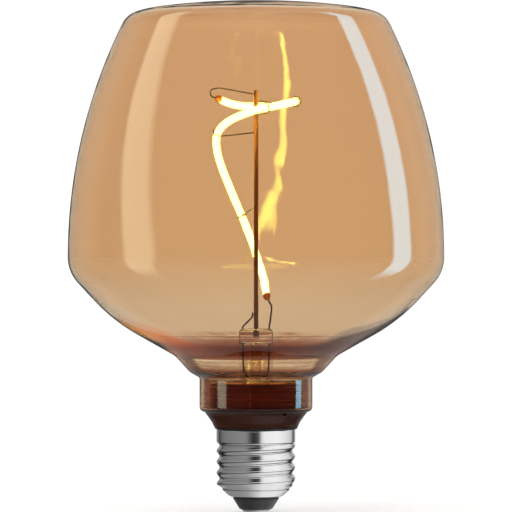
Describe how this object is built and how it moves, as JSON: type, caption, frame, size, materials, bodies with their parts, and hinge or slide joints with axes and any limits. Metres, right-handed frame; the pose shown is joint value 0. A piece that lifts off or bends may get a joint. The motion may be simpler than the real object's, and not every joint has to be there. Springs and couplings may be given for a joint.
{
  "type": "smart light bulb",
  "caption": "Large amber filament bulb with a coiled filament on a support rod, a screw cap and a dimmable radio driver in its neck.",
  "frame": {"origin": "centre of the face of the centre contact at the bottom of the screw cap", "axes": "+Z along the lamp's axis from the cap towards the crown of the glass, +X to the right in the picture, -Y towards its camera"},
  "size_m": [0.1244, 0.1244, 0.1685],
  "materials": {
    "amber_glass": "smooth amber-coated glass",
    "stem_glass": "clear glass seen through the amber coat",
    "rod_metal": "oxidised, semi-gloss",
    "wire_metal": "drawn wire",
    "filament_silicone": "translucent silicone over lit chips",
    "terminal_copper": "copper strip",
    "housing_plastic": "dark brown, satin gloss",
    "cover_plastic": "moulded, matte",
    "adhesive": "cured silicone",
    "sealant_black": "cured bead",
    "cap_metal": "nickel-plated sheet",
    "insulator_black": "vitrified, semi-gloss",
    "contact_tin": "tinned brass",
    "solder": "bright solder",
    "board_green": "solder mask",
    "chip_black": "moulded epoxy",
    "capacitor_sleeve": "shrink sleeve",
    "film_box": "moulded box",
    "varistor_blue": "dipped coat",
    "ferrite": "sintered, matte",
    "copper_wire": "enamelled wire",
    "smd_body": "chip parts",
    "radio_blue": "solder mask",
    "shield_metal": "plated sheet",
    "gold_track": "plated track",
    "resistor_green": "sleeved",
    "lead_sleeve": "insulation",
    "tinned_wire": "tinned wire"
  },
  "bodies": {
    "root": {"glass_envelope": "amber_glass", "stem_flare": "stem_glass", "exhaust_tube": "stem_glass", "support_rod": "rod_metal", "rod_lead_wire": "wire_metal", "filament_lead_wire": "wire_metal", "filament": "filament_silicone", "top_terminal": "terminal_copper", "bottom_terminal": "terminal_copper", "top_arm": "wire_metal", "hook_left": "wire_metal", "hook_right": "wire_metal", "hook_front": "wire_metal", "hook_lower": "wire_metal", "driver_housing": "housing_plastic", "housing_cover": "cover_plastic", "neck_adhesive": "adhesive", "cap_sealant": "sealant_black", "cap_shell": "cap_metal", "cap_insulator": "insulator_black", "centre_contact": "contact_tin", "contact_solder": "solder", "driver_board": "board_green", "bridge_rectifier": "chip_black", "bulk_capacitor": "capacitor_sleeve", "film_capacitor": "film_box", "varistor": "varistor_blue", "inductor_core": "ferrite", "inductor_winding": "copper_wire", "driver_ic": "chip_black", "smd_parts": "smd_body", "radio_board": "radio_blue", "radio_shield": "shield_metal", "antenna": "gold_track", "pin_header": "chip_black", "fusible_resistor": "resistor_green", "live_wire": "tinned_wire", "neutral_wire": "lead_sleeve"}
  },
  "joints": []
}
